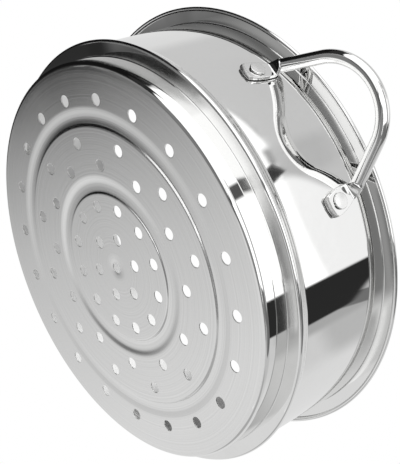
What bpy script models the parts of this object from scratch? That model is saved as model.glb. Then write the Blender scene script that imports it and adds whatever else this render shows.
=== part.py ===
# Steamer basket: a deep-drawn, perforated shell with two riveted rod handles.
# Metres, +Z up. The origin is under the middle of the base, on the plane of the
# inner flats that it stands on, and the two handles lie along X.

import math

import bmesh
import bpy
from mathutils import Matrix, Vector


# Sizes that several pieces share

sheet = 0.0006               # thickness of the pressed sheet
clearance = 0.0003           # gap kept between pieces that touch
cut_overrun = 0.0020         # how far a cutter passes the faces that it cuts
merge_distance = 0.00001     # points closer than this are one point

# Heights of the shell's outer skin, one above the other

flat_step = 0.0007           # inner flats up to the outer flat
lower_height = 0.0155        # outer flat up to the ledge that sits on a pot
bead_height = 0.0085         # ledge up to the foot of the upper wall
upper_height = 0.0606        # foot of the upper wall up to the seat flange

# Radii of the shell's outer skin

lower_radius = 0.1190
bead_radius = 0.1280
upper_radius = 0.1250
rim_radius = 0.1344
curl_radius = 0.00125        # outer radius of the rolled edge's own section

# Rounding of the shell

corner_round = 0.0025        # base to lower wall
ledge_fillet = 0.0010        # lower wall to ledge
bead_round = 0.0015          # ledge to bead
seat_fillet = 0.0020         # upper wall to seat flange

# Ribs pressed up into the base, from the outer foot of each to its inner foot

outer_rib_radius = 0.0948    # of its outer foot
outer_rib_rise = 0.0006      # outer flat up to its crest
outer_rib_slope = 0.0065     # run of its gentle outer flank
outer_rib_crest = 0.0032     # width of its level crest
outer_rib_step = 0.0018      # run of its steep inner flank
inner_rib_radius = 0.0557
inner_rib_rise = 0.0009
inner_rib_slope = 0.0055
inner_rib_crest = 0.0045
inner_rib_step = 0.0013

# Steam holes

hole_diameter = 0.0070
hole_turn = 22.7             # degrees from a handle to the first hole of each ring
outer_ring_radius = 0.0990
middle_ring_radius = 0.0744
stagger_ring_radius = 0.0616
centre_ring_radius = 0.0371
heart_ring_radius = 0.0185

# Handle rod and its loop

rod_diameter = 0.0074
loop_radius = 0.0294         # of the rod's centre line
leg_angle = 26.6             # degrees by which each leg leans in towards the middle
loop_rise = 13.0             # degrees by which the loop tilts up from level
elbow_radius = 0.0055        # of the rod's centre line, from the pad to the leg
neck_length = 0.0130         # rivet up to the point where pad and leg lines meet

# Flattened pads at the rod's ends

pad_thickness = 0.0020
pad_width = 0.0125
pad_margin = 0.0086          # rivet down to the pad's end
pad_angle = 18.7             # degrees from the handle's middle to each pad
pad_lean = 15.0              # degrees by which each pad leans in on its way up
rivet_height = 0.0592        # outer flat up to the rivets
pad_outline_shares = (       # along the pad from its end, and of its width there
    (0.00, 0.70), (0.04, 0.84), (0.12, 0.94), (0.30, 1.00),
    (0.55, 1.00), (0.78, 0.90), (1.00, 0.74),
)
pad_squareness_share = 0.4   # 1 gives an oval section, 0 a sharp rectangle

# Rivets

shank_diameter = 0.0044
head_diameter = 0.0088
head_height = 0.0010
head_round = 0.0004
inner_gap = 0.0004           # kept to the curved inside of the wall

# Flats that stand in for round shapes

shell_steps = 56
hole_sides = 10
rod_sides = 12
rivet_steps = 16
round_steps = 2              # along a small rounded corner
curl_steps = 6               # along the rolled edge
shoulder_steps = 4           # down the bead's upper side
flank_steps = 3              # down each flank of a rib
elbow_steps = 5              # along each of the rod's elbows
loop_steps = 8               # along half of the loop
sharp_angle = 50             # degrees; a steeper edge is shaded sharp


# Scene and collections

def clear_scene():
    for item in list(bpy.data.objects):
        bpy.data.objects.remove(item, do_unlink=True)


def new_collection(name):
    collection = bpy.data.collections.new(name)
    bpy.context.scene.collection.children.link(collection)
    return collection


def new_object(name, data, collection, parent=None):
    item = bpy.data.objects.new(name, data)
    collection.objects.link(item)
    item.parent = parent
    return item


def steel(name, colour, roughness):
    material = bpy.data.materials.new(name)
    material.use_nodes = True
    shader = material.node_tree.nodes["Principled BSDF"]
    shader.inputs["Base Color"].default_value = (*colour, 1.0)
    shader.inputs["Metallic"].default_value = 1.0
    shader.inputs["Roughness"].default_value = roughness
    return material


# Outlines in the turning plane, as points of radius and height

def arc(centre_r, centre_z, radius, start, end, steps):
    points = []
    for i in range(steps + 1):
        angle = math.radians(start + (end - start) * i / steps)
        points.append((centre_r + radius * math.cos(angle), centre_z + radius * math.sin(angle)))
    return points


def ease(share):
    return (1 - math.cos(math.pi * share)) / 2


def slope(start, end, steps):
    """A rib's flank: it leaves one level flat and reaches the next smoothly."""
    points = []
    for i in range(steps + 1):
        share = i / steps
        r = start[0] + (end[0] - start[0]) * share
        z = start[1] + (end[1] - start[1]) * ease(share)
        points.append((r, z))
    return points


def shoulder_curve(start, end, steps):
    """The bead's upper side: it leaves the wall and reaches the crest upright."""
    points = []
    for i in range(steps + 1):
        share = i / steps
        r = start[0] + (end[0] - start[0]) * ease(share)
        z = start[1] + (end[1] - start[1]) * share
        points.append((r, z))
    return points


def rib(radius, outside, rise, runs, inside):
    """A rib from its outer foot, over its level crest, to its inner foot."""
    outer_run, crest_run, inner_run = runs
    top = outside + rise
    crest_out = (radius - outer_run, top)
    crest_in = (crest_out[0] - crest_run, top)
    points = slope((radius, outside), crest_out, flank_steps)
    points += slope(crest_in, (crest_in[0] - inner_run, inside), flank_steps)
    return points


def without_repeats(points):
    kept = [points[0]]
    for point in points[1:]:
        if math.dist(point, kept[-1]) > merge_distance:
            kept.append(point)
    return kept


def shell_outline():
    """The outer skin, from the free end of the rolled edge to the centre hole."""
    outer_flat = flat_step
    inner_flat = 0
    ledge = outer_flat + lower_height
    shoulder = ledge + bead_height
    seat = shoulder + upper_height
    curl_inside = curl_radius - sheet
    points = arc(rim_radius - curl_radius, seat - curl_inside, curl_inside, -180, 90, curl_steps)
    points += arc(upper_radius + seat_fillet, seat - seat_fillet, seat_fillet, 90, 180, round_steps)
    points += shoulder_curve((upper_radius, shoulder), (bead_radius, ledge + bead_round),
                             shoulder_steps)
    points += arc(bead_radius - bead_round, ledge + bead_round, bead_round, 0, -90, round_steps)
    points += arc(lower_radius + ledge_fillet, ledge - ledge_fillet, ledge_fillet, 90, 180,
                  round_steps)
    points += arc(lower_radius - corner_round, outer_flat + corner_round, corner_round, 0, -90,
                  round_steps)
    points += rib(outer_rib_radius, outer_flat, outer_rib_rise,
                  (outer_rib_slope, outer_rib_crest, outer_rib_step), inner_flat)
    points += rib(inner_rib_radius, inner_flat, inner_rib_rise,
                  (inner_rib_slope, inner_rib_crest, inner_rib_step), inner_flat)
    points.append((hole_diameter / 2, inner_flat))
    return without_repeats(points)


def turned(name, outline, steps, collection, parent=None):
    """An object whose outline, drawn in the XZ plane, is turned about Z."""
    mesh = bpy.data.meshes.new(name)
    edges = [(i, i + 1) for i in range(len(outline) - 1)]
    mesh.from_pydata([(r, 0, z) for r, z in outline], edges, [])
    item = new_object(name, mesh, collection, parent)
    screw = item.modifiers.new("turn", "SCREW")
    screw.axis = "Z"
    screw.angle = math.radians(360)
    screw.steps = steps
    screw.render_steps = steps
    screw.use_merge_vertices = True
    screw.merge_threshold = merge_distance
    screw.use_smooth_shade = True
    return item


# Cutters

def cylinders(name, places, diameter, length, sides, collection):
    """Cylinders along the local Z of each place, in one object."""
    shape = bmesh.new()
    for place in places:
        bmesh.ops.create_cone(
            shape, cap_ends=True, segments=sides, radius1=diameter / 2,
            radius2=diameter / 2, depth=length, matrix=place,
        )
    mesh = bpy.data.meshes.new(name)
    shape.to_mesh(mesh)
    shape.free()
    item = new_object(name, mesh, collection)
    item.hide_render = True
    item.display_type = "WIRE"
    return item


def cut(item, cutter):
    boolean = item.modifiers.new("cut " + cutter.name, "BOOLEAN")
    boolean.operation = "DIFFERENCE"
    boolean.solver = "EXACT"
    boolean.object = cutter


def steam_hole_places():
    """Five rings; the staggered one is turned by half of its own spacing."""
    rings = (
        (outer_ring_radius, 20, 0),
        (middle_ring_radius, 12, 0),
        (stagger_ring_radius, 12, 0.5),
        (centre_ring_radius, 12, 0),
        (heart_ring_radius, 6, 0),
    )
    places = []
    for radius, count, stagger in rings:
        for i in range(count):
            turn = math.radians(hole_turn + 360 * (i + stagger) / count)
            place = Matrix.Rotation(turn, 4, "Z") @ Matrix.Translation((radius, 0, flat_step))
            places.append(place)
    return places


def rivet_place(side):
    """The rivet's frame under the handle: local Z points out of the wall."""
    turn = Matrix.Rotation(math.radians(side * pad_angle), 4, "Z")
    out = Matrix.Translation((upper_radius, 0, flat_step + rivet_height))
    tip = Matrix.Rotation(math.radians(90), 4, "Y")
    return turn @ out @ tip


# Shell

def make_shell(collection, steam_holes, rivet_holes):
    shell = turned("basket_shell", shell_outline(), shell_steps, collection)
    solidify = shell.modifiers.new("sheet", "SOLIDIFY")
    solidify.thickness = sheet
    solidify.offset = -1
    solidify.use_even_offset = True
    cut(shell, steam_holes)
    cut(shell, rivet_holes)
    shell.data.materials.append(steel("shell_steel", (0.80, 0.80, 0.79), 0.16))
    return shell


# Handles

class RodPath:
    """Stations along a bent rod, each with the rod's place, side and face."""

    def __init__(self, place, heading, face):
        self.place = place.copy()
        self.heading = heading.normalized()
        self.face = face.normalized()
        self.stations = []
        self.mark()

    def mark(self):
        side = self.heading.cross(self.face)
        self.stations.append((self.place.copy(), side, self.face.copy()))

    def run(self, length):
        self.place += self.heading * length
        self.mark()

    def bend(self, towards, radius, steps):
        axis = self.heading.cross(towards).normalized()
        centre = self.place + axis.cross(self.heading) * radius
        step = Matrix.Rotation(self.heading.angle(towards) / steps, 3, axis)
        for _ in range(steps):
            self.place = centre + step @ (self.place - centre)
            self.heading = step @ self.heading
            self.face = step @ self.face
            self.mark()


def rod_section(station, half_width, half_depth, squareness):
    """A ring of points. A flattened section keeps the rod's back where it was."""
    place, side, face = station
    centre = place - face * (rod_diameter / 2 - half_depth)
    ring = []
    for i in range(rod_sides):
        turn = 2 * math.pi * i / rod_sides
        across = math.copysign(abs(math.cos(turn)) ** squareness, math.cos(turn))
        out = math.copysign(abs(math.sin(turn)) ** squareness, math.sin(turn))
        ring.append(centre + side * (half_width * across) + face * (half_depth * out))
    return ring


def half_handle_rings():
    """Rings from the end of the pad at +Y to the middle of the loop at Y = 0."""
    angle = math.radians(pad_angle)
    lean = math.radians(pad_lean)
    lean_in = math.radians(leg_angle)
    rise = math.radians(loop_rise)
    up = Vector((0, 0, 1))
    out = Vector((math.cos(angle), math.sin(angle), 0))
    around = Vector((-math.sin(angle), math.cos(angle), 0))
    pad_line = up * math.cos(lean) - around * math.sin(lean)
    leg_line = Vector((math.cos(lean_in) * math.cos(rise), -math.sin(lean_in),
                       math.cos(lean_in) * math.sin(rise)))

    rod_radius = rod_diameter / 2
    rivet = out * (upper_radius + clearance + rod_radius) + up * (flat_step + rivet_height)
    neck = rivet + pad_line * neck_length
    elbow_reach = elbow_radius * math.tan(pad_line.angle(leg_line) / 2)
    pad_length = pad_margin + neck_length - elbow_reach
    leg_length = (neck.y - loop_radius * math.cos(lean_in)) / math.sin(lean_in) - elbow_reach

    path = RodPath(rivet - pad_line * pad_margin, pad_line, out)
    for (start, _), (end, _) in zip(pad_outline_shares, pad_outline_shares[1:]):
        path.run(pad_length * (end - start))
    path.bend(leg_line, elbow_radius, elbow_steps)
    path.run(leg_length)
    path.bend(Vector((0, -1, 0)), loop_radius, loop_steps)

    rings = []
    for index, station in enumerate(path.stations):
        beyond = index - (len(pad_outline_shares) - 1)
        roundness = ease(min(max(beyond / elbow_steps, 0), 1))
        width_share = pad_outline_shares[min(index, len(pad_outline_shares) - 1)][1]
        flat_width = pad_width * width_share / 2
        half_width = flat_width + (rod_radius - flat_width) * roundness
        half_depth = pad_thickness / 2 + (rod_radius - pad_thickness / 2) * roundness
        squareness = pad_squareness_share + (1 - pad_squareness_share) * roundness
        rings.append(rod_section(station, half_width, half_depth, squareness))
    return rings


def half_handle_mesh():
    """Faces between the rings, closed at the pad's end and open at the middle."""
    shape = bmesh.new()
    rings = [[shape.verts.new(point) for point in ring] for ring in half_handle_rings()]
    for lower, upper in zip(rings, rings[1:]):
        for i in range(rod_sides):
            following = (i + 1) % rod_sides
            shape.faces.new((lower[i], lower[following], upper[following], upper[i]))
    shape.faces.new(list(reversed(rings[0])))
    shape.normal_update()
    mesh = bpy.data.meshes.new("half_handle")
    shape.to_mesh(mesh)
    shape.free()
    mesh.shade_smooth()
    mesh.set_sharp_from_angle(angle=math.radians(sharp_angle))
    return mesh


def make_handle(name, mesh, collection, parent, rivet_holes):
    handle = new_object(name, mesh.copy(), collection, parent)
    mirror = handle.modifiers.new("other half", "MIRROR")
    mirror.use_axis = (False, True, False)
    mirror.merge_threshold = merge_distance
    cut(handle, rivet_holes)
    handle.data.materials.append(steel(name + "_steel", (0.82, 0.82, 0.81), 0.12))
    return handle


# Rivets

def rivet_outline():
    """One solid from the low outer head, through pad and wall, to the inner head."""
    head = head_diameter / 2
    shank = shank_diameter / 2
    outer_seat = pad_thickness + 2 * clearance
    outer_top = outer_seat + head_height
    inner_seat = -sheet - inner_gap
    inner_end = inner_seat - head_height
    points = [(0, outer_top)]
    points += arc(head - head_round, outer_top - head_round, head_round, 90, 0, round_steps)
    points += [(head, outer_seat), (shank, outer_seat), (shank, inner_seat), (head, inner_seat)]
    points += arc(head - head_round, inner_end + head_round, head_round, 0, -90, round_steps)
    points.append((0, inner_end))
    return points


def make_rivet(name, side, collection, parent):
    rivet = turned(name, rivet_outline(), rivet_steps, collection, parent)
    rivet.matrix_local = rivet_place(side)
    rivet.data.materials.append(steel(name + "_steel", (0.80, 0.80, 0.79), 0.20))
    return rivet


# Assembly

def build():
    clear_scene()
    parts = new_collection("steamer_basket")
    cutters = new_collection("steamer_basket_cutters")

    hole_length = 2 * (sheet + flat_step + cut_overrun)
    steam_holes = cylinders("steam_holes", steam_hole_places(), hole_diameter, hole_length,
                            hole_sides, cutters)

    rivet_hole = shank_diameter + 2 * clearance
    rivet_hole_length = 2 * (pad_thickness + 2 * clearance + cut_overrun)
    half_turn = Matrix.Rotation(math.radians(180), 4, "Z")
    places = []
    for turn in (Matrix.Identity(4), half_turn):
        for side in (1, -1):
            places.append(turn @ rivet_place(side))
    rivet_holes = cylinders("rivet_holes", places, rivet_hole, rivet_hole_length,
                            hole_sides, cutters)

    make_shell(parts, steam_holes, rivet_holes)

    handle_mesh = half_handle_mesh()
    for hand, degrees in (("right", 0), ("left", 180)):
        mount = new_object("handle_mount_" + hand, None, parts)
        mount.rotation_euler.z = math.radians(degrees)
        make_handle("handle_" + hand, handle_mesh, parts, mount, rivet_holes)
        for place, side in (("rear", 1), ("front", -1)):
            make_rivet("rivet_" + hand + "_" + place, side, parts, mount)
    bpy.context.view_layer.update()


build()
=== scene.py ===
# Steamer basket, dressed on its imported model.
# Metres, +Z up. The origin is under the middle of the base, on the plane of its
# inner flats, and the two handles lie along X.

import math

import bmesh
import bpy
import numpy as np
from mathutils import Matrix


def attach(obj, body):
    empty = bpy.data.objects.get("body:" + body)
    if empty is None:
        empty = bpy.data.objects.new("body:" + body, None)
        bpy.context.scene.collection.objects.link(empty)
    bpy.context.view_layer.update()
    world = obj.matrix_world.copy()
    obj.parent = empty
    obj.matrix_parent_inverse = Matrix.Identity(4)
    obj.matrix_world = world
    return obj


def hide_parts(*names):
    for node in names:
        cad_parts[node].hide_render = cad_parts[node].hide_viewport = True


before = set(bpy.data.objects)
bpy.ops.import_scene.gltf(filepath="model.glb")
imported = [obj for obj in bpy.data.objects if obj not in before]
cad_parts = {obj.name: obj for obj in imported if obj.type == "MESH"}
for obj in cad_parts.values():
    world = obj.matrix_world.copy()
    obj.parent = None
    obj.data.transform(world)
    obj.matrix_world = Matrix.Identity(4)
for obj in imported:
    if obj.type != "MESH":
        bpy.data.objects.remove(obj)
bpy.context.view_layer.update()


# Basket shell
#
# One pressing of thin stainless sheet, drawn deep, with its steam holes punched
# and its top edge rolled under. The walls are polished like a mirror, and the
# base is spun on a wheel, which leaves fine rings.

sheet = 0.0006
outer_flat = 0.0007
inner_flat = 0.0
ledge_height = 0.0162
shoulder_height = 0.0247
seat_height = 0.0853

lower_radius = 0.1190
bead_radius = 0.1280
upper_radius = 0.1250
rim_radius = 0.1344
curl_radius = 0.00125
curl_gap = 0.0001

corner_round = 0.0025
ledge_fillet = 0.0004
bead_round = 0.0015
seat_fillet = 0.0006

# each rib's rise, then its radii: outer foot, both sides of the level crest, inner foot,
# and the row that keeps the flat level inside it
outer_rib = (0.0006, 0.0948, 0.0883, 0.0851, 0.0833, 0.0826)
inner_rib = (0.0009, 0.0557, 0.0502, 0.0457, 0.0444, 0.0436)

# edges of the flat bands that the holes are punched in, and the circles the holes lie on
outer_band, outer_circle = (0.1030, 0.0950), 0.0990
middle_band, middle_circles = (0.0795, 0.0680, 0.0560), (0.0744, 0.0616)
centre_band, centre_circles = (0.0415, 0.0280, 0.0090), (0.0371, 0.0185)
outer_count, middle_count, centre_count = 20, 12, 6

steam_hole = 0.0035
punched_edge = 0.00012
punched_lip = (0.3 * punched_edge, 0.2 * punched_edge)   # halfway round the edge: in, up
hole_turn = math.radians(22.7)
edge_line = 0.00015          # row that keeps a flat level beside a bend
close_row = 0.03             # share of the way out where a row keeps level beside a hole
turn_steps = 240
curl_steps, seat_steps, shoulder_steps = 14, 7, 16
bead_steps, ledge_steps, corner_steps, rib_steps = 7, 5, 8, 10

weld = 0.000002              # points nearer than this are one point
sharp_angle = math.radians(50)


def arc(centre_r, centre_z, radius, start, end, steps):
    """Points at a constant distance from a centre, at even steps of angle."""
    angle = np.radians(np.linspace(start, end, steps + 1))
    return np.stack([centre_r + radius * np.cos(angle), centre_z + radius * np.sin(angle)], 1)


def line(*points):
    """Points (radius, height) joined by straight runs."""
    return np.array(points)


def shoulder_curve(steps):
    """Height falls evenly while the radius grows by a half cosine, upright at both ends."""
    share = np.linspace(0, 1, steps + 1)
    ease = (1 - np.cos(np.pi * share)) / 2
    low = ledge_height + bead_round
    return np.stack([upper_radius + (bead_radius - upper_radius) * ease,
                     shoulder_height + (low - shoulder_height) * share], 1)


def rib_curve(rib, outside, inside, steps):
    """Each flank runs by a half cosine between its flat and the rib's level crest."""
    rise, outer_foot, crest_out, crest_in, inner_foot, flat_row = rib
    share = np.linspace(0, 1, steps + 1)
    ease = (1 - np.cos(np.pi * share)) / 2
    up = np.stack([outer_foot + (crest_out - outer_foot) * share, outside + rise * ease], 1)
    down = np.stack([crest_in + (inner_foot - crest_in) * share,
                     inside + (outside + rise - inside) * (1 - ease)], 1)
    return np.concatenate([up, down, line((flat_row, inside))])


def inner_side(points):
    """The same outline moved by the sheet's thickness, square to its own run."""
    run = np.gradient(points, axis=0)
    run /= np.linalg.norm(run, axis=1)[:, None]
    return points + sheet * np.stack([run[:, 1], -run[:, 0]], 1)


def grid_faces(rows, columns):
    """Four-cornered faces between the points of a grid whose last column joins its first."""
    index = np.arange(rows * columns).reshape(rows, columns)
    following = np.roll(index, -1, axis=1)
    return np.stack([index[:-1], following[:-1], following[1:], index[1:]], -1).reshape(-1, 4)


def turned_surface(outline, steps, start=0.0):
    """An outline of radius r and height z, turned by angle a: (r cos a, r sin a, z)."""
    angle = start + 2 * np.pi * np.arange(steps) / steps
    r, z = outline[:, 0, None], outline[:, 1, None]
    points = np.stack([r * np.cos(angle), r * np.sin(angle), z + 0 * angle], -1)
    return points.reshape(-1, 3), grid_faces(len(outline), steps)


def hole_cell(outer_r, inner_r, hole_r, count, side_steps, rows):
    """A punched cell of a flat ring: each point slides in a straight line from the hole's
    round edge, at even steps of angle, to the edge of the ring's sector around it. Each
    row gives its share of that slide, the hole's radius there and its height."""
    half = np.pi / count
    across = turn_steps // count
    top = np.linspace(half, -half, across, endpoint=False)
    side = np.linspace(outer_r, inner_r, side_steps, endpoint=False)
    bottom = -top
    back = np.linspace(inner_r, outer_r, side_steps, endpoint=False)
    r = np.concatenate([np.full(across, outer_r), side, np.full(across, inner_r), back])
    a = np.concatenate([top, np.full(side_steps, -half), bottom, np.full(side_steps, half)])
    border = np.stack([r * np.cos(a), r * np.sin(a)], 1)
    number = len(border)
    corner = np.pi * across / number
    spin = corner - 2 * np.pi * np.arange(number) / number
    ring = np.stack([np.cos(spin), np.sin(spin)], 1)
    points = []
    for share, radius, height in rows:
        edge = np.array([hole_r, 0]) + ring * radius
        place = edge + (border - edge) * share
        points.append(np.column_stack([place, np.full(number, height)]))
    return np.concatenate(points), grid_faces(len(rows), number)


def repeated(points, faces, count, start):
    """Copies of one cell, each turned on by a whole share of the circle."""
    angle = start + 2 * np.pi * np.arange(count) / count
    c, s = np.cos(angle)[:, None], np.sin(angle)[:, None]
    x, y, z = points.T
    turned = np.stack([x * c - y * s, x * s + y * c, z + 0 * c], -1).reshape(-1, 3)
    step = len(points) * np.arange(count)[:, None, None]
    return turned, (faces + step).reshape(-1, 4)


def hole_ring(outer_r, inner_r, hole_r, count, level, start):
    """Both skins of a punched ring and the walls of its holes."""
    outside = [(1.0, steam_hole, level), (close_row, steam_hole + punched_edge, level),
               (0.0, steam_hole + punched_edge, level),
               (0.0, steam_hole + punched_lip[0], level + punched_lip[1]),
               (0.0, steam_hole, level + punched_edge)]
    inside = [(0.0, steam_hole, level + sheet), (1.0, steam_hole, level + sheet)]
    side_steps = 8 if count == centre_count else 6
    cell = hole_cell(outer_r, inner_r, hole_r, count, side_steps, outside + inside)
    return repeated(*cell, count, start)


def joined(name, parts):
    """One mesh object from several surfaces: shared points merged, faces turned outwards."""
    start = np.cumsum([0] + [len(points) for points, _ in parts[:-1]])
    points = np.concatenate([p for p, _ in parts])
    faces = np.concatenate([f + s for (_, f), s in zip(parts, start)])
    mesh = bpy.data.meshes.new(name)
    mesh.from_pydata(points.tolist(), [], faces.tolist())
    shape = bmesh.new()
    shape.from_mesh(mesh)
    bmesh.ops.remove_doubles(shape, verts=shape.verts, dist=weld)
    bmesh.ops.dissolve_degenerate(shape, edges=shape.edges, dist=weld / 2)
    bmesh.ops.recalc_face_normals(shape, faces=shape.faces)
    shape.to_mesh(mesh)
    shape.free()
    mesh.shade_smooth()
    mesh.set_sharp_from_angle(angle=sharp_angle)
    item = bpy.data.objects.new(name, mesh)
    bpy.context.scene.collection.objects.link(item)
    return item


# from the rim's curl, which ends close under the seat flange, down to the outer band
wall_outline = np.concatenate([
    line((rim_radius - 2 * curl_radius + sheet, seat_height - curl_gap)),
    arc(rim_radius - curl_radius, seat_height - curl_radius + sheet, curl_radius - sheet,
        -180, 90, curl_steps),
    line((rim_radius - curl_radius - edge_line, seat_height),
         (upper_radius + seat_fillet + edge_line, seat_height)),
    arc(upper_radius + seat_fillet, seat_height - seat_fillet, seat_fillet, 90, 180,
        seat_steps),
    line((upper_radius, seat_height - seat_fillet - edge_line),
         (upper_radius, shoulder_height + edge_line)),
    shoulder_curve(shoulder_steps),
    arc(bead_radius - bead_round, ledge_height + bead_round, bead_round, 0, -90,
        bead_steps)[1:],
    line((bead_radius - bead_round - edge_line, ledge_height),
         (lower_radius + ledge_fillet + edge_line, ledge_height)),
    arc(lower_radius + ledge_fillet, ledge_height - ledge_fillet, ledge_fillet, 90, 180,
        ledge_steps),
    line((lower_radius, ledge_height - ledge_fillet - edge_line),
         (lower_radius, outer_flat + corner_round + edge_line)),
    arc(lower_radius - corner_round, outer_flat + corner_round, corner_round, 0, -90,
        corner_steps),
    line((lower_radius - corner_round - edge_line, outer_flat), (outer_band[0], outer_flat)),
])
outer_rib_outline = np.concatenate([
    line((outer_band[1], outer_flat)),
    rib_curve(outer_rib, outer_flat, inner_flat, rib_steps),
    line((middle_band[0], inner_flat)),
])
inner_rib_outline = np.concatenate([
    line((middle_band[2], inner_flat)),
    rib_curve(inner_rib, inner_flat, inner_flat, rib_steps),
    line((centre_band[0], inner_flat)),
])
# round the one hole in the middle
centre_outline = line(
    (centre_band[2], inner_flat), (steam_hole + punched_edge, inner_flat),
    (steam_hole + punched_lip[0], inner_flat + punched_lip[1]),
    (steam_hole, inner_flat + punched_edge), (steam_hole, inner_flat + sheet),
    (centre_band[2], inner_flat + sheet))

# all rows start at the edge of an outer hole's cell, so that their points meet
grid_start = hole_turn - math.pi / outer_count
wall_loop = np.concatenate([inner_side(wall_outline)[::-1], wall_outline])
surfaces = [turned_surface(wall_loop, turn_steps, grid_start)]
for outline in (outer_rib_outline, inner_rib_outline):
    surfaces.append(turned_surface(outline, turn_steps, grid_start))
    surfaces.append(turned_surface(outline + np.array([0, sheet]), turn_steps, grid_start))
surfaces.append(turned_surface(centre_outline, turn_steps, grid_start))
surfaces.append(hole_ring(*outer_band, outer_circle, outer_count, outer_flat, hole_turn))
for edges, circle, count, turn in (
        (middle_band[:2], middle_circles[0], middle_count, hole_turn),
        (middle_band[1:], middle_circles[1], middle_count, hole_turn + math.pi / middle_count),
        (centre_band[:2], centre_circles[0], middle_count, hole_turn),
        (centre_band[1:], centre_circles[1], centre_count, hole_turn)):
    surfaces.append(hole_ring(*edges, circle, count, inner_flat, turn))
shell = joined("basket_shell_sheet", surfaces)


def noise_group(name, inputs, outputs):
    """An empty node group with plain number sockets."""
    group = bpy.data.node_groups.new(name, "ShaderNodeTree")
    for label, value in inputs:
        socket = group.interface.new_socket(label, in_out="INPUT", socket_type="NodeSocketFloat")
        socket.default_value = value
    for label in outputs:
        group.interface.new_socket(label, in_out="OUTPUT", socket_type="NodeSocketFloat")
    return group, group.nodes.new("NodeGroupInput"), group.nodes.new("NodeGroupOutput")


def maths(tree, operation, *values):
    """One sum on sockets or plain numbers."""
    node = tree.nodes.new("ShaderNodeMath")
    node.operation = operation
    for socket, value in zip(node.inputs, values):
        if isinstance(value, (int, float)):
            socket.default_value = value
        else:
            tree.links.new(value, socket)
    return node.outputs[0]


def span(tree, value, low, high, start=0.0, end=1.0):
    """A smooth step from start to end as value goes from low to high."""
    node = tree.nodes.new("ShaderNodeMapRange")
    node.interpolation_type = "SMOOTHSTEP"
    tree.links.new(value, node.inputs["Value"])
    for label, number in (("From Min", low), ("From Max", high), ("To Min", start),
                          ("To Max", end)):
        node.inputs[label].default_value = number
    return node.outputs["Result"]


def noise(tree, vector, scale, detail=2.0, roughness=0.5, size="3D", w=None):
    """Soft noise over a place, or with size 1D along the one value w."""
    node = tree.nodes.new("ShaderNodeTexNoise")
    node.noise_dimensions = size
    node.inputs["Scale"].default_value = scale
    node.inputs["Detail"].default_value = detail
    node.inputs["Roughness"].default_value = roughness
    if vector is not None:
        tree.links.new(vector, node.inputs["Vector"])
    if w is not None:
        tree.links.new(w, node.inputs["W"])
    return node.outputs["Fac"]


def make_spun_rings():
    """Rings: noise along the distance from the basket's axis, at two widths of ring."""
    group, source, sink = noise_group("spun_rings", (("Depth", 1.0),), ("Rings", "Radius"))
    place = group.nodes.new("ShaderNodeTexCoord")
    parts = group.nodes.new("ShaderNodeSeparateXYZ")
    group.links.new(place.outputs["Object"], parts.inputs[0])
    radius = maths(group, "SQRT", maths(
        group, "ADD", maths(group, "POWER", parts.outputs["X"], 2.0),
        maths(group, "POWER", parts.outputs["Y"], 2.0)))
    coarse = noise(group, None, scale=900.0, detail=3.0, roughness=0.6, size="1D", w=radius)
    fine = noise(group, None, scale=4200.0, detail=2.0, roughness=0.6, size="1D", w=radius)
    both = maths(group, "ADD", maths(group, "MULTIPLY", coarse, 0.55),
                 maths(group, "MULTIPLY", fine, 0.45))
    deep = maths(group, "MULTIPLY", both, source.outputs["Depth"])
    group.links.new(deep, sink.inputs["Rings"])
    group.links.new(radius, sink.inputs["Radius"])
    return group


def make_handling_haze():
    """Haze: large soft noise with a finer one on it, as where a cloth has wiped."""
    group, source, sink = noise_group("handling_haze", (("Size", 14.0),), ("Haze", "Ripple"))
    place = group.nodes.new("ShaderNodeTexCoord").outputs["Object"]
    large = noise(group, place, scale=14.0, detail=3.0, roughness=0.55)
    group.links.new(source.outputs["Size"], large.node.inputs["Scale"])
    fine = noise(group, place, scale=260.0, detail=2.0, roughness=0.5)
    both = maths(group, "ADD", maths(group, "MULTIPLY", large, 0.8),
                 maths(group, "MULTIPLY", fine, 0.2))
    group.links.new(both, sink.inputs["Haze"])
    ripple = noise(group, place, scale=22.0, detail=1.0, roughness=0.4)
    group.links.new(ripple, sink.inputs["Ripple"])
    return group


spun_rings = make_spun_rings()
handling_haze = make_handling_haze()


def placed(tree, group, label=None, value=None):
    """A shader group set into a material, with its own value on one input."""
    node = tree.nodes.new("ShaderNodeGroup")
    node.node_tree = group
    if label:
        node.inputs[label].default_value = value
    return node


def steel(name, colour, roughness):
    """Bare steel, fully metallic, with its colour and its least roughness."""
    material = bpy.data.materials.new(name)
    material.use_nodes = True
    tree = material.node_tree
    shader = tree.nodes["Principled BSDF"]
    shader.inputs["Base Color"].default_value = (*colour, 1.0)
    shader.inputs["Metallic"].default_value = 1.0
    shader.inputs["Roughness"].default_value = roughness
    return material, tree, shader


def tint(tree, shader, mask, low, high, dark, light):
    """Colour goes from dark to light as the mask goes from low to high."""
    ramp = tree.nodes.new("ShaderNodeValToRGB")
    ramp.color_ramp.interpolation = "EASE"
    ramp.color_ramp.elements[0].position = low
    ramp.color_ramp.elements[1].position = high
    ramp.color_ramp.elements[0].color = (*dark, 1.0)
    ramp.color_ramp.elements[1].color = (*light, 1.0)
    tree.links.new(mask, ramp.inputs[0])
    tree.links.new(ramp.outputs["Color"], shader.inputs["Base Color"])


def relief(tree, shader, height, distance, strength=1.0):
    """Small ups and downs that only tip the surface's reflections."""
    bump = tree.nodes.new("ShaderNodeBump")
    bump.inputs["Distance"].default_value = distance
    bump.inputs["Strength"].default_value = strength
    tree.links.new(height, bump.inputs["Height"])
    tree.links.new(bump.outputs["Normal"], shader.inputs["Normal"])


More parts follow.
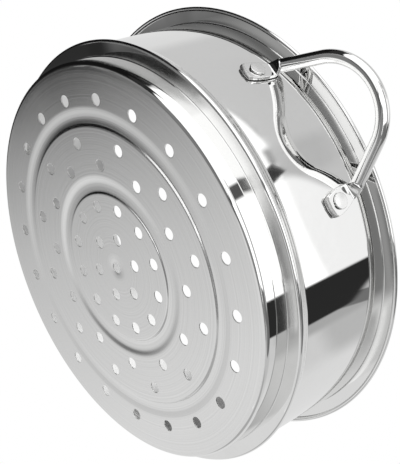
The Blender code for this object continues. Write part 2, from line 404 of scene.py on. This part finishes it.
polished, tree, shader = steel("polished_shell_steel", (0.82, 0.82, 0.815), 0.035)
haze = placed(tree, handling_haze, "Size", 12.0)
tint(tree, shader, haze.outputs["Haze"], 0.35, 0.65, (0.80, 0.80, 0.795), (0.835, 0.835, 0.83))
wiped = span(tree, haze.outputs["Haze"], 0.4, 0.75, 0.02, 0.045)
tree.links.new(wiped, shader.inputs["Roughness"])
relief(tree, shader, haze.outputs["Ripple"], 0.00008, 0.2)

# the base is spun up to its corner, and shines more from there on
spun_radius = 0.1172
shine_radii = (0.1120, 0.1175)
inside_point = np.array([0, 0, 0.06])
spun, tree, shader = steel("spun_base_steel", (0.80, 0.80, 0.79), 0.18)
shader.inputs["Anisotropic"].default_value = 0.35
rings = placed(tree, spun_rings)
haze = placed(tree, handling_haze, "Size", 18.0)
tint(tree, shader, rings.outputs["Rings"], 0.3, 0.7, (0.76, 0.76, 0.755), (0.84, 0.84, 0.835))
edge_fade = span(tree, rings.outputs["Radius"], *shine_radii, 1.0, 0.3)
brushed = span(tree, haze.outputs["Haze"], 0.3, 0.7, 0.15, 0.21)
tree.links.new(maths(tree, "MULTIPLY", brushed, edge_fade), shader.inputs["Roughness"])
relief(tree, shader, rings.outputs["Rings"], 0.00002, 0.8)

satin, tree, shader = steel("satin_inside_steel", (0.78, 0.78, 0.775), 0.34)
haze = placed(tree, handling_haze, "Size", 20.0)
tint(tree, shader, haze.outputs["Haze"], 0.35, 0.65, (0.75, 0.75, 0.745), (0.80, 0.80, 0.795))
wiped = span(tree, haze.outputs["Haze"], 0.35, 0.7, 0.30, 0.40)
tree.links.new(wiped, shader.inputs["Roughness"])

# each face takes its finish by its place: satin inside, spun on the base, polished else
for material in (polished, spun, satin):
    shell.data.materials.append(material)
centres = np.empty(3 * len(shell.data.polygons))
shell.data.polygons.foreach_get("center", centres)
centres = centres.reshape(-1, 3)
normals = np.empty_like(centres).ravel()
shell.data.polygons.foreach_get("normal", normals)
normals = normals.reshape(-1, 3)
radius, height = np.hypot(centres[:, 0], centres[:, 1]), centres[:, 2]
on_base = (radius < spun_radius) & (height < outer_flat + corner_round)
faces_in = (normals * (inside_point - centres)).sum(1) > 0
faces_in &= (radius < upper_radius) | (height < shoulder_height)
kind = np.where(faces_in, 2, on_base.astype(np.int32))
shell.data.polygons.foreach_set("material_index", kind.astype(np.int32))
shell.data.update()

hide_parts("basket_shell")
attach(shell, "root")


# Handles
#
# Two loops bent from polished stainless rod. Each end is pressed flat between dies
# into a pad that lies on the wall, and two rivets hold it there.

rod_radius = 0.0037
loop_radius = 0.0294
leg_angle = math.radians(26.6)
loop_rise = math.radians(13.0)
elbow_radius = 0.0055
neck_length = 0.0130
pad_thickness = 0.0020
pad_width = 0.0125
pad_margin = 0.0086
end_bow = 0.0014
pad_angle = math.radians(18.7)
pad_lean = math.radians(15.0)
rivet_level = 0.0599
fit_gap = 0.0003

# the pad's outline: shares of its length from the end on, and of its width there
pad_stations = (0.0, 0.06, 0.12, 0.20, 0.34, 0.55, 0.78, 1.0)
pad_widths = (0.84, 0.89, 0.93, 0.965, 1.00, 1.00, 0.90, 0.76)
# its end edge is rounded over: the same for its thickness
edge_stations, edge_thicknesses = (0.0, 0.025, 0.06), (0.60, 0.86, 1.0)
pad_square = 0.14            # power of the pad's corners, where the round rod has 1
# where on the elbow, in shares of it, the pad narrows, thickens and loses its corners,
# and over which share
narrow_from, narrow_over = -0.10, 0.75
thicken_from, thicken_over = -0.02, 0.50
corners_from, corners_over = 0.05, 0.60

# the loop's tip is drawn in a little, to keep the round rod in the solid model's box
tip_from, tip_over, tip_drawn = 0.145, 0.015, 0.0001
end_reach = pad_width * 0.6  # how far from the pad's end the dull cut can reach
end_ring = 3                 # the ring of points where the end's rounding begins
rod_points = 56
pad_steps, elbow_steps, leg_steps, loop_steps = 44, 26, 10, 36


def unit(vector):
    """The same direction with a length of 1."""
    return vector / np.linalg.norm(vector)


def straight(place, heading, face, length, steps):
    """Places at even steps along a straight run; the rod keeps its heading and face."""
    t = np.linspace(0, 1, steps + 1)[1:, None]
    places = place + heading * (length * t)
    return places, np.tile(heading, (steps, 1)), np.tile(face, (steps, 1))


def bend(place, heading, face, towards, radius, steps):
    """Places round a bend: start, heading and face turned about the bend's axis k by
    angle a, each as v cos a + (k x v) sin a + k (k.v)(1 - cos a)."""
    axis = unit(np.cross(heading, towards))
    centre = place + np.cross(axis, heading) * radius
    total = math.acos(float(np.clip(heading @ towards, -1, 1)))
    a = np.linspace(0, total, steps + 1)[1:, None]

    def swung(v):
        """One vector, turned by each angle of the bend."""
        return v * np.cos(a) + np.cross(axis, v) * np.sin(a) + axis * (axis @ v) * (1 - np.cos(a))

    return centre + swung(place - centre), swung(heading), swung(face)


def half_handle_path():
    """Stations from the pad's end at +Y to the loop's middle, with the rod's heading and
    the pad's face at each, and the lengths of the pad's run and of the elbow."""
    up = np.array([0.0, 0.0, 1.0])
    out = np.array([math.cos(pad_angle), math.sin(pad_angle), 0.0])
    around = np.array([-math.sin(pad_angle), math.cos(pad_angle), 0.0])
    pad_line = up * math.cos(pad_lean) - around * math.sin(pad_lean)
    leg_line = np.array([math.cos(leg_angle) * math.cos(loop_rise), -math.sin(leg_angle),
                         math.cos(leg_angle) * math.sin(loop_rise)])
    rivet = out * (upper_radius + fit_gap + rod_radius) + up * rivet_level
    neck = rivet + pad_line * neck_length
    turn = math.acos(float(pad_line @ leg_line))
    reach = elbow_radius * math.tan(turn / 2)
    pad_run = pad_margin + neck_length - reach
    leg_run = (neck[1] - loop_radius * math.cos(leg_angle)) / math.sin(leg_angle) - reach
    start = rivet - pad_line * pad_margin
    runs = [(start[None], pad_line[None], out[None])]
    runs.append(straight(start, pad_line, out, pad_run, pad_steps))
    runs.append(bend(*(v[-1] for v in runs[-1]), leg_line, elbow_radius, elbow_steps))
    runs.append(straight(*(v[-1] for v in runs[-1]), leg_run, leg_steps))
    across = np.array([0.0, -1.0, 0.0])
    runs.append(bend(*(v[-1] for v in runs[-1]), across, loop_radius, loop_steps))
    places, headings, faces = (np.concatenate(v) for v in zip(*runs))
    return places, headings, faces, pad_run, elbow_radius * turn


places, headings, faces, pad_run, elbow_run = half_handle_path()
distance = np.concatenate([[0], np.cumsum(np.linalg.norm(np.diff(places, axis=0), axis=1))])


def half_handle_points():
    """Rings of the rod: in each, across = w sgn(cos t)|cos t|^q and out = h sgn(sin t)|sin t|^q.
    Width w, half depth h and squareness q go from the flat pad to the round rod along
    the neck, and the rod's back stays where it was. The pad's end edge is rounded over
    and bows out."""
    along = np.clip(distance / pad_run, 0, 1)
    shares = np.interp(along, pad_stations, pad_widths)
    beyond = (distance - pad_run) / elbow_run
    narrow = np.clip((beyond - narrow_from) / narrow_over, 0, 1)
    narrow = narrow * narrow * (3 - 2 * narrow)
    thicken = np.clip((beyond - thicken_from) / thicken_over, 0, 1)
    corners = np.clip((beyond - corners_from) / corners_over, 0, 1)
    w = pad_width / 2 * shares * (1 - narrow) + rod_radius * narrow
    thick = pad_thickness * np.interp(along, edge_stations, edge_thicknesses)
    h = thick / 2 * (1 - thicken) + rod_radius * thicken
    q = pad_square + (1 - pad_square) * corners
    t = 2 * np.pi * np.arange(rod_points) / rod_points
    c, s = np.cos(t)[None], np.sin(t)[None]
    across = w[:, None] * np.sign(c) * np.abs(c) ** q[:, None]
    out = h[:, None] * np.sign(s) * np.abs(s) ** q[:, None]
    sides = np.cross(headings, faces)
    centre = places - faces * (rod_radius - h)[:, None]
    bow = end_bow * (across / (pad_width / 2)) ** 2 * np.clip(1 - 3 * along, 0, 1)[:, None]
    return (centre[:, None] + sides[:, None] * across[..., None] + faces[:, None] * out[..., None]
            + headings[:, None] * bow[..., None])


def end_cap(ring):
    """A flat end: the ring drawn in to its own middle."""
    middle = ring.mean(0)
    return np.stack([ring, middle + (ring - middle) * 0.5, np.tile(middle, (len(ring), 1))])


half = half_handle_points()
tip_share = np.clip((half[..., 0] - tip_from) / tip_over, 0, 1)
half[..., 0] -= tip_drawn * tip_share * tip_share * (3 - 2 * tip_share)
cap = end_cap(half[0])
rod_surfaces = []
for sign in (1, -1):
    flip = np.array([1, sign, 1])
    rod_surfaces.append(((half * flip).reshape(-1, 3), grid_faces(*half.shape[:2])))
    rod_surfaces.append(((cap * flip).reshape(-1, 3), grid_faces(*cap.shape[:2])))

handle_steel, tree, shader = steel("polished_rod_steel", (0.84, 0.84, 0.835), 0.05)
haze = placed(tree, handling_haze, "Size", 60.0)
tint(tree, shader, haze.outputs["Haze"], 0.35, 0.65, (0.81, 0.81, 0.805), (0.86, 0.86, 0.855))
wiped = span(tree, haze.outputs["Haze"], 0.35, 0.75, 0.04, 0.10)
tree.links.new(wiped, shader.inputs["Roughness"])
relief(tree, shader, haze.outputs["Ripple"], 0.00002, 0.15)

# the pads' sheared ends are left dull
end_steel, tree, shader = steel("sheared_end_steel", (0.55, 0.55, 0.545), 0.40)
haze = placed(tree, handling_haze, "Size", 90.0)
tint(tree, shader, haze.outputs["Haze"], 0.35, 0.65, (0.48, 0.48, 0.475), (0.58, 0.58, 0.575))

end_middle = half[end_ring].mean(0)
end_side = np.cross(headings[0], faces[0])

for hand, direction in (("right", 1), ("left", -1)):
    turn = np.array([direction, direction, 1])
    parts = [(points * turn, quads) for points, quads in rod_surfaces]
    handle = joined("handle_" + hand + "_rod", parts)
    handle.data.materials.append(handle_steel)
    handle.data.materials.append(end_steel)
    middles = np.empty(3 * len(handle.data.polygons))
    handle.data.polygons.foreach_get("center", middles)
    middles = middles.reshape(-1, 3) * turn
    middles[:, 1] = np.abs(middles[:, 1])
    offset = middles - end_middle
    bowed = end_bow * (offset @ end_side / (pad_width / 2)) ** 2
    dull = (np.linalg.norm(offset, axis=1) < end_reach) & (offset @ headings[0] < bowed)
    handle.data.polygons.foreach_set("material_index", dull.astype(np.int32))
    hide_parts("handle_" + hand)
    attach(handle, "root")


# Rivets
#
# Four stainless rivets, two to a handle, pressed through pad and wall. Each shows a
# low round head outside and the same inside.

shank_radius = 0.0022
head_radius = 0.0044
head_height = 0.0010
head_round = 0.0004
head_crown = 0.0001          # how far the head's middle stands over its rounded edge
inner_gap = 0.0004
rivet_steps, head_steps = 40, 6

outer_seat = pad_thickness + 2 * fit_gap
inner_seat = -sheet - inner_gap
head_top = outer_seat + head_height
head_end = inner_seat - head_height
rivet_outline = np.concatenate([
    line((0.0, head_top), (head_radius * 0.5, head_top - head_crown * 0.3),
         (head_radius - head_round - edge_line, head_top - head_crown)),
    arc(head_radius - head_round, head_top - head_crown - head_round, head_round, 90, 0,
        head_steps),
    line((head_radius, outer_seat), (shank_radius, outer_seat), (shank_radius, inner_seat),
         (head_radius, inner_seat)),
    arc(head_radius - head_round, head_end + head_round, head_round, 0, -90, head_steps),
    line((head_radius * 0.5, head_end), (0.0, head_end)),
])

rivet_steel, tree, shader = steel("rivet_head_steel", (0.80, 0.80, 0.79), 0.12)
haze = placed(tree, handling_haze, "Size", 120.0)
tint(tree, shader, haze.outputs["Haze"], 0.35, 0.65, (0.78, 0.78, 0.775), (0.82, 0.82, 0.815))
wiped = span(tree, haze.outputs["Haze"], 0.35, 0.75, 0.08, 0.16)
tree.links.new(wiped, shader.inputs["Roughness"])
relief(tree, shader, haze.outputs["Ripple"], 0.00004, 0.3)

for hand, direction in (("right", 1), ("left", -1)):
    for place, side in (("rear", 1), ("front", -1)):
        angle = side * pad_angle
        out = np.array([math.cos(angle), math.sin(angle), 0.0]) * direction
        around = np.array([-math.sin(angle), math.cos(angle), 0.0]) * direction
        up = np.array([0.0, 0.0, 1.0])
        points, quads = turned_surface(rivet_outline, rivet_steps)
        seated = (out * upper_radius + up * rivet_level
                  + points[:, :1] * around + points[:, 1:2] * up + points[:, 2:] * out)
        name = "rivet_" + hand + "_" + place
        rivet = joined(name + "_head", [(seated, quads)])
        rivet.data.materials.append(rivet_steel)
        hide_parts(name)
        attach(rivet, "root")


# Floor
#
# A pale sheet that fades out into the white background. It takes the basket's soft
# shadow, and nothing shows of it from underneath.

floor_size = 1.6
floor_level = -0.0001
fade_from, fade_to = 0.25, 0.75

floor_mesh = bpy.data.meshes.new("floor")
floor_mesh.from_pydata([(-floor_size, -floor_size, floor_level),
                        (floor_size, -floor_size, floor_level),
                        (floor_size, floor_size, floor_level),
                        (-floor_size, floor_size, floor_level)], [], [(0, 1, 2, 3)])
floor = bpy.data.objects.new("floor", floor_mesh)
bpy.context.scene.collection.objects.link(floor)
floor.visible_glossy = False
floor.visible_diffuse = False
floor.visible_transmission = False
floor.visible_shadow = False

pale = bpy.data.materials.new("pale_floor")
pale.use_nodes = True
tree = pale.node_tree
tree.nodes.clear()
sink = tree.nodes.new("ShaderNodeOutputMaterial")
matt = tree.nodes.new("ShaderNodeBsdfDiffuse")
matt.inputs["Color"].default_value = (0.93, 0.93, 0.93, 1.0)
clear = tree.nodes.new("ShaderNodeBsdfTransparent")
mix = tree.nodes.new("ShaderNodeMixShader")
place = tree.nodes.new("ShaderNodeTexCoord")
length = tree.nodes.new("ShaderNodeVectorMath")
length.operation = "LENGTH"
tree.links.new(place.outputs["Object"], length.inputs[0])
fade = span(tree, length.outputs["Value"], fade_from, fade_to)
underside = tree.nodes.new("ShaderNodeNewGeometry").outputs["Backfacing"]
tree.links.new(maths(tree, "MAXIMUM", fade, underside), mix.inputs[0])
tree.links.new(matt.outputs[0], mix.inputs[1])
tree.links.new(clear.outputs[0], mix.inputs[2])
tree.links.new(mix.outputs[0], sink.inputs["Surface"])
floor_mesh.materials.append(pale)


# Studio light
#
# Soft pale boards all round, which the polished steel mirrors: a white table and side
# board in front of the handle, a dark strip beside them, a pale wall beyond the base
# and a dark gap under it. The camera itself sees plain white.

# every board has a light level and its place in degrees: its bearings, which are turns
# about Z from +X, and its rises over the horizon
world = bpy.data.worlds.new("studio")
bpy.context.scene.world = world
world.use_nodes = True
tree = world.node_tree
tree.nodes.clear()
sink = tree.nodes.new("ShaderNodeOutputWorld")
light = tree.nodes.new("ShaderNodeBackground")
light.inputs["Color"].default_value = (1.0, 1.0, 1.0, 1.0)
tree.links.new(light.outputs[0], sink.inputs["Surface"])
facing = tree.nodes.new("ShaderNodeSeparateXYZ")
tree.links.new(tree.nodes.new("ShaderNodeTexCoord").outputs["Generated"], facing.inputs[0])
turned_by = maths(tree, "ARCTAN2", facing.outputs["Y"], facing.outputs["X"])
bearing = maths(tree, "DEGREES", turned_by)
rise = maths(tree, "DEGREES", maths(tree, "ARCSINE", facing.outputs["Z"]))


def between(value, low, high, soft):
    """A mask that is 1 from low to high and fades out over soft degrees on each side."""
    inside = span(tree, value, low - soft / 2, low + soft / 2)
    outside = span(tree, value, high - soft / 2, high + soft / 2, 1.0, 0.0)
    return maths(tree, "MULTIPLY", inside, outside)


def blended(under, level, mask):
    """under + (level - under) x mask"""
    change = maths(tree, "SUBTRACT", level, under)
    return maths(tree, "ADD", under, maths(tree, "MULTIPLY", change, mask))


def patch(under, level, bearings, over, low, high, soft=(3.0, 0.15)):
    """Lays a light level between two bearings and two distances over a line, each edge
    softened over so many degrees."""
    return blended(under, level, maths(tree, "MULTIPLY", between(bearing, *bearings, soft[0]),
                                       between(over, low, high, soft[1])))


def board(under, level, bearings, rises, soft=(3.0, 1.0)):
    """The same between two bearings and two rises."""
    return patch(under, level, bearings, rise, *rises, soft)


def over_line(slope, height):
    """rise + slope x bearing - height: how far a direction lies above a leaning line."""
    climb = maths(tree, "ADD", rise, maths(tree, "MULTIPLY", bearing, slope))
    return maths(tree, "SUBTRACT", climb, height)


def slanted(height, middle, slope):
    """bearing + (height - middle) x slope: a bearing that shifts sideways with height."""
    shift = maths(tree, "MULTIPLY", maths(tree, "SUBTRACT", height, middle), slope)
    return maths(tree, "ADD", bearing, shift)


# the room: light overhead and at the sides
room = span(tree, rise, -20.0, 10.0, 0.62, 0.66)

# pale wall beyond the base, dimmer towards the dark gap and beside the dark strip
room = board(room, 0.80, (95, 200), (-90, 90), (8.0, 20.0))
room = board(room, 0.80, (-200, -105), (-90, 90), (14.0, 10.0))
dimming = maths(tree, "MULTIPLY", span(tree, bearing, -190, -150, 0.92, 0.50),
                span(tree, bearing, -165, -154, 1.0, 0.62))
room = board(room, dimming, (-200, -150), (-90, 0))
wall_top = over_line(0.045, 47.6)
wall_shade = span(tree, rise, 39.8, 41.4, 0.72, 0.55)
room = patch(room, wall_shade, (86, 114), wall_top, -60.0, 1.0, (16.0, 0.8))
room = patch(room, 0.46, (80, 91), wall_top, -5.6, 1.0, (5.0, 0.8))

# grey wedge beside the strip's top corner, and a dark block above the strip
wedge = slanted(rise, 42.3, -2.4)
room = blended(room, 0.19, maths(tree, "MULTIPLY", between(wedge, 76, 84.8, 1.2),
                                 between(rise, 42.0, 46.0, 0.5)))
room = board(room, 0.10, (67, 80), (46, 56), (3.0, 3.0))

# below the strip's height: greys from the strip to the pale wall, dark under the basket
room = board(room, 0.60, (80, 100), (-40, 36), (10.0, 6.0))
room = board(room, 0.46, (97, 156), (-35, -9), (10.0, 5.0))
room = board(room, 0.13, (-118, 84), (-92, -52), (16.0, 8.0))

# dark gap between the pale wall and the table
room = board(room, 0.03, (-154.5, -54), (-62, 33), (5.0, 4.0))

# soft shade to the left of the side board
room = board(room, 0.56, (-14, 6), (42.9, 46.0), (10.0, 2.0))

# white side board, whose left edge leans to the right above the table, and whose right
# edge is cut back in front of the strip
board_edge = 62.5
board_left = span(tree, rise, 42.6, 46.2, 3.0, 24.0)
from_left = maths(tree, "SUBTRACT", bearing, board_left)
cut_back = maths(tree, "MULTIPLY", between(rise, -36.5, 36.0, 1.0),
                 span(tree, rise, -8.0, 30.0, 13.0, 2.0))
from_right = maths(tree, "SUBTRACT", bearing, maths(tree, "SUBTRACT", board_edge, cut_back))
board_sides = maths(tree, "MULTIPLY", span(tree, from_left, -3.0, 3.0),
                    span(tree, from_right, -1.0, 1.0, 1.0, 0.0))
over_foot = maths(tree, "ADD", rise, span(tree, bearing, 10.0, 30.0, 58.0, 43.0))
board_ends = maths(tree, "MULTIPLY", span(tree, over_foot, -1.5, 1.5),
                   span(tree, rise, 62.0, 84.0, 1.0, 0.2))
board_level = maths(tree, "MULTIPLY", span(tree, rise, 42.2, 42.8, 1.0, 0.72),
                    span(tree, rise, -38.0, -34.0, 1.8, 1.5))
room = blended(room, board_level, maths(tree, "MULTIPLY", board_sides, board_ends))

# white table in front, up to its far edge, which bows down to the left; its near edge
# bows down too, and a thin grey line runs along part of the far edge
far_bow = maths(tree, "MULTIPLY", maths(tree, "POWER", bearing, 2.0), 0.00094)
over_edge = maths(tree, "ADD", rise, maths(tree, "SUBTRACT", far_bow, 42.58))
from_middle = maths(tree, "ABSOLUTE", maths(tree, "ADD", bearing, 8.0))
near_bow = maths(tree, "MULTIPLY", maths(tree, "POWER", from_middle, 2.0), 0.0067)
table_ends = maths(tree, "MULTIPLY", span(tree, over_edge, -0.08, 0.08, 1.0, 0.0),
                   span(tree, maths(tree, "SUBTRACT", rise, near_bow), -64.0, -56.0))
table_left = span(tree, rise, 32.0, 34.0, -62.0, -80.0)
table_sides = maths(tree, "MULTIPLY",
                    span(tree, maths(tree, "SUBTRACT", bearing, table_left), -1.5, 1.5),
                    span(tree, bearing, 1.0, 5.0, 1.0, 0.0))
room = blended(room, 1.42, maths(tree, "MULTIPLY", table_sides, table_ends))
room = patch(room, 0.42, (-54, -22), over_edge, -0.04, 0.16, (6.0, 0.08))

# dark strip between the boards: its foot, greyer on the right, a pale board that closes
# the table's right end, and the strip itself with its top corner cut off
strip_right = 84.5
room = board(room, 0.17, (50, strip_right), (-14, 36.0), (3.0, 2.0))
room = board(room, 0.20, (50, 70), (-34, -12), (3.0, 4.0))
room = board(room, 0.42, (70, strip_right), (-34, -12), (5.0, 5.0))
room = board(room, 0.78, (-7, 7), (12, 37.6), (5.0, 3.0))
under_cut = span(tree, over_line(0.2, 60.0), -0.5, 0.5, 1.0, 0.0)
strip = maths(tree, "MULTIPLY", between(bearing, 63, strip_right, 1.5),
              between(rise, 35.5, 46.5, 0.6))
room = blended(room, 0.026, maths(tree, "MULTIPLY", strip, under_cut))

# small dark things that stand on the table's far edge
room = patch(room, 0.28, (-15, -5), over_edge, -0.45, 0.0, (5.0, 0.2))
room = blended(room, 0.045, maths(
    tree, "MULTIPLY", between(slanted(rise, 41.6, 4.5), -3.7, 5.5, 1.2),
    between(over_line(-0.09, 42.85), -1.9, 0.0, 0.15)))
room = blended(room, 0.10, maths(
    tree, "MULTIPLY", between(slanted(rise, 39.0, 1.3), -3.5, 5.0, 2.5),
    between(rise, 36.0, 40.8, 0.3)))

# grey board low in front of the side board, and a narrow dark post far below
room = board(room, 0.45, (7, 62), (12, 36), (4.0, 3.0))
room = board(room, 0.03, (-2.5, 3.5), (-72, -49), (2.0, 3.0))

# black gap beyond the table's left end
room = patch(room, 0.008, (-141, -80), over_line(-0.064, 42.2), -60, 0, (3.0, 0.2))

# below the horizon the ledge mirrors what lies under one line, the seam, and the lower
# wall, through the ledge, what lies over it; the seam's rise is
# 0.00034 t - 3.4e-9 t^2 - 40.6, with t the square of the bearing counted from 13
aside = maths(tree, "ABSOLUTE", maths(tree, "SUBTRACT", bearing, 13.0))
turned = maths(tree, "POWER", aside, 2.0)
curve = maths(tree, "MULTIPLY", maths(tree, "POWER", turned, 2.0), 3.4e-9)
seam = maths(tree, "SUBTRACT", maths(tree, "MULTIPLY", turned, 0.00034),
             maths(tree, "ADD", curve, 40.6))
over_seam = maths(tree, "SUBTRACT", rise, seam)

# over the seam: the table's bright end, and grey light on the left with a leaning end
light_end = span(tree, slanted(rise, -37.85, 11.4), -70, -66, 1.0, 0.0)
left_light = maths(tree, "MULTIPLY", between(over_seam, 0.0, 1.0, 0.16),
                   maths(tree, "MULTIPLY", span(tree, bearing, -150, -146), light_end))
room = patch(room, 1.3, (-80, -50), over_seam, 0.0, 1.2)
room = blended(room, 0.60, left_light)

# under it: the dark gap, which lightens towards the table, and a thin bright line
gap_end = span(tree, bearing, -87, -57, 0.02, 0.50)
room = patch(room, gap_end, (-152, -54), over_seam, -1.2, 0.0, (10.0, 0.15))
seam_light = span(tree, bearing, -86, -60, 0.20, 1.25)
room = patch(room, seam_light, (-84, -54), over_seam, -0.15, 0.1, (6.0, 0.1))
room = patch(room, 0.22, (-152, -62), over_seam, -60, -1.2, (4.0, 1.0))

# a leaning dark mark in front of the handle, and the strip's foot
mark_level = span(tree, over_seam, 0.0, 2.5, 0.08, 0.30)
room = blended(room, mark_level, maths(
    tree, "MULTIPLY", between(slanted(over_seam, 0.0, 1.6), -5.5, 2.8, 2.5),
    between(over_seam, -0.2, 2.6, 0.2)))
room = patch(room, 0.05, (63, strip_right), over_seam, 0.0, 4.0, (1.5, 0.3))

# just under the seam the table dims towards the strip, and goes grey beyond it
near_seam = span(tree, bearing, -8, 30, 1.30, 0.45)
room = patch(room, near_seam, (-8, 34), over_seam, -0.5, -0.02, (6.0, 0.1))
below_seam = span(tree, bearing, -8, 20, 0.85, 0.46)
room = patch(room, below_seam, (-62, 34), over_seam, -1.3, -0.5, (6.0, 0.2))
under_seam = span(tree, over_seam, -0.75, -0.15, 0.62, 0.24)
room = patch(room, under_seam, (26, 88), over_seam, -50, -0.05, (20.0, 0.2))
room = patch(room, 0.25, (26, 88), over_seam, -50, -1.3, (20.0, 0.4))

# two bright lines along the bead, where it mirrors the strip
room = patch(room, 0.80, (58, 88), over_seam, -0.31, -0.19, (8.0, 0.08))
room = patch(room, 0.92, (58, 88), over_seam, -0.64, -0.43, (8.0, 0.10))

# the seat flange mirrors these through the upper wall: two greys at its upper left
upper_share = span(tree, bearing, -152, -75, 0.55, 1.35)
inner_grey = maths(tree, "MULTIPLY", upper_share, span(tree, over_seam, -5.9, -5.1, 0.12, 0.25))
room = patch(room, inner_grey, (-150, -62), over_seam, -5.95, -4.7, (8.0, 0.15))
outer_grey = maths(tree, "MULTIPLY", upper_share, span(tree, over_seam, -6.5, -6.0, 0.33, 0.13))
room = patch(room, outer_grey, (-150, -62), over_seam, -8.0, -5.95, (8.0, 0.1))

# near the handle a dark band and a light one, which is grey on the right
room = patch(room, 0.25, (-60, 88), over_seam, -6.35, -5.0, (8.0, 0.25))
room = patch(room, 1.25, (-56, 13), over_seam, -7.1, -6.42, (8.0, 0.2))
room = patch(room, 0.42, (13, 90), over_seam, -6.75, -6.35, (8.0, 0.2))

# and at its lower end a grey, a light and a grey band
lower_grey = span(tree, bearing, 108, 152, 0.50, 0.80)
room = patch(room, lower_grey, (100, 166), over_seam, -6.0, -4.4, (10.0, 0.15))
room = patch(room, 1.10, (100, 170), over_seam, -6.5, -6.0, (8.0, 0.15))
room = patch(room, 0.68, (100, 150), over_seam, -7.2, -6.5, (10.0, 0.15))

camera_ray = tree.nodes.new("ShaderNodeLightPath").outputs["Is Camera Ray"]
tree.links.new(blended(room, 1.0, camera_ray), light.inputs["Strength"])

lamp_data = bpy.data.lights.new("overhead_softbox", "AREA")
lamp_data.shape = "DISK"
lamp_data.size = 0.9
lamp_data.energy = 3.0
lamp = bpy.data.objects.new("overhead_softbox", lamp_data)
bpy.context.scene.collection.objects.link(lamp)
lamp.location = (0.0, 0.0, 1.2)
lamp.visible_glossy = False
lamp.visible_camera = False


# Camera
#
# It looks from under the basket at its base and right-hand handle, rolled so that
# the base stands upright at the left of the picture.

camera_data = bpy.data.cameras.new("camera")
camera = bpy.data.objects.new("camera", camera_data)
bpy.context.scene.collection.objects.link(camera)
camera_data.sensor_fit = "AUTO"
camera_data.sensor_width = 36.0
camera_data.lens = 73.97
camera_data.clip_start = 0.01
right = (0.44946, 0.50069, 0.73979)
above = (0.43471, -0.84608, 0.30851)
behind = (0.78039, 0.18293, -0.59793)
camera.location = (0.45892, 0.10698, -0.28633)
aim = np.array([right, above, behind]).T
camera.rotation_mode = "QUATERNION"
camera.rotation_quaternion = Matrix(aim.tolist()).to_quaternion()
bpy.context.scene.camera = camera

bpy.context.scene.view_settings.view_transform = "Standard"
